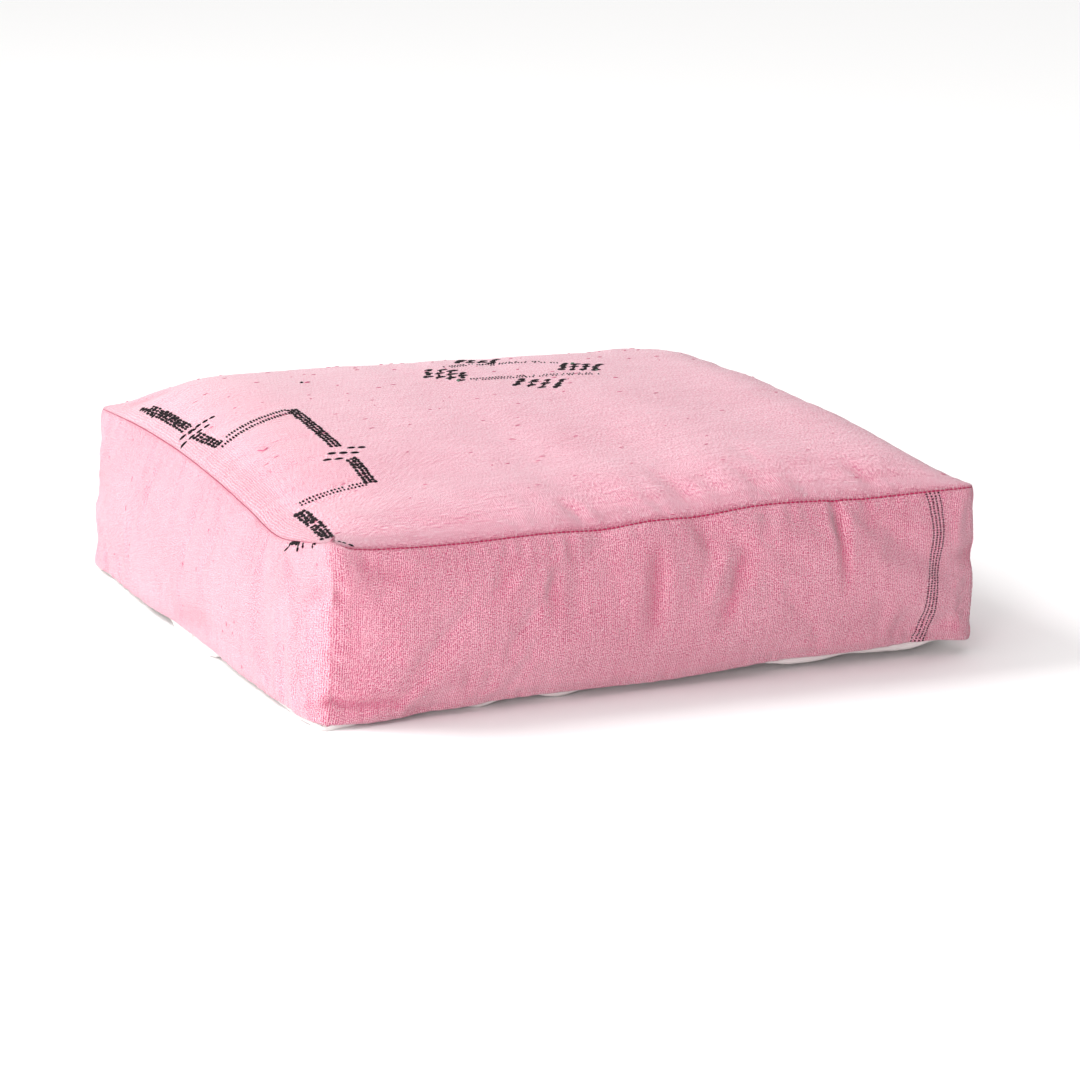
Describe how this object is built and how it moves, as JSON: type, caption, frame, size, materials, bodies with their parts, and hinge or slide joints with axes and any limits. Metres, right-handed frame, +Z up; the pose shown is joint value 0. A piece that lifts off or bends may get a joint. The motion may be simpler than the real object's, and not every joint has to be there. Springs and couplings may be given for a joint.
{
  "type": "floor cushion",
  "caption": "Square boxed floor cushion: a woven cover with an embroidered top and a zip across its base, over a separate stuffed insert.",
  "frame": {"origin": "centre of the base, on the floor", "axes": "+X along the width and the zip, +Y from the front side panel to the back one, +Z up"},
  "size_m": [0.61, 0.61, 0.2066],
  "materials": {
    "pink_weave": "hand-woven ribbed cloth of shiny plant-fibre thread, with slubs",
    "white_cotton": "plain-weave cotton canvas, matte",
    "pink_thread": "sewing thread, matte",
    "white_thread": "sewing thread, matte",
    "black_thread": "loosely spun embroidery thread, matte",
    "green_thread": "loosely spun embroidery thread, matte",
    "zip_tape": "woven herringbone tape",
    "zip_teeth": "moulded, satin",
    "slider_metal": "die-cast and plated, satin",
    "casing_cotton": "plain-weave cotton, matte",
    "fibre_fill": "loose polyester fibre"
  },
  "bodies": {
    "cover": {"top_panel": "pink_weave", "side_panel_front": "pink_weave", "side_panel_right": "pink_weave", "side_panel_back": "pink_weave", "side_panel_left": "pink_weave", "base_panel_front": "white_cotton", "base_panel_back": "white_cotton", "top_seam_stitching": "pink_thread", "base_seam_stitching": "white_thread", "corner_seam_stitching": "pink_thread", "zigzag_embroidery": "black_thread", "diamond_embroidery": "black_thread", "green_knots": "green_thread", "hook_embroidery": "black_thread", "dot_stripe_embroidery": "black_thread", "zip_tape_front": "zip_tape", "zip_tape_back": "zip_tape", "zip_teeth_front": "zip_teeth", "zip_teeth_back": "zip_teeth", "zip_top_stops": "zip_teeth", "zip_bottom_stop": "zip_teeth", "zip_stitching": "white_thread", "insert_casing_top": "casing_cotton", "insert_casing_bottom": "casing_cotton", "insert_gusset": "casing_cotton", "insert_stitching": "white_thread", "insert_fill": "fibre_fill"},
    "zip_slider": {"zip_slider_body": "slider_metal"},
    "zip_pull": {"zip_pull_tab": "slider_metal"}
  },
  "joints": [
    {"name": "zip_slide", "type": "slide", "parent": "cover", "child": "zip_slider", "axis": [-1, 0, 0], "range_m": [0, 0.498]},
    {"name": "pull_hinge", "type": "hinge", "parent": "zip_slider", "child": "zip_pull", "pos_m": [0.252, 0, 0.0039], "axis": [0, -1, 0], "range_deg": [0, 168]}
  ]
}
